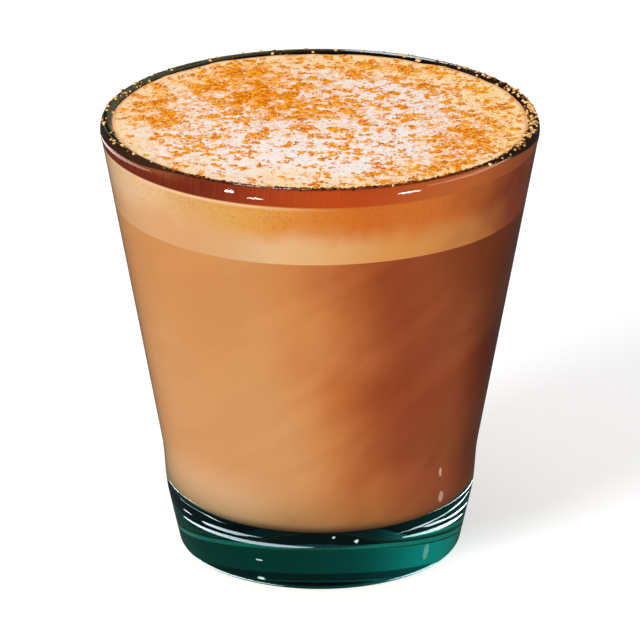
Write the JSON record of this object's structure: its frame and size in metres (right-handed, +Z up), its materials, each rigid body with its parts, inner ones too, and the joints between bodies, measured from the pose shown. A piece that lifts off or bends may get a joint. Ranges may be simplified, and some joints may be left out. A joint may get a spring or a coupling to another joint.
{
  "type": "cortado in a glass",
  "caption": "Tapered round tumbler with a thick base and rounded lip, filled nearly to the brim with milky coffee under a layer of milk foam.",
  "frame": {"origin": "centre of the plane that the glass's base ring rests on", "axes": "+Z up along the glass's own axis of turning; the drink is round, so +X and +Y are any two square directions across it"},
  "size_m": [0.084, 0.084, 0.087],
  "materials": {
    "glass": "polished",
    "coffee": "smooth liquid behind glass",
    "milk_foam": "fine soft foam"
  },
  "bodies": {
    "root": {"glass": "glass", "coffee": "coffee", "milk_foam": "milk_foam"}
  },
  "joints": []
}
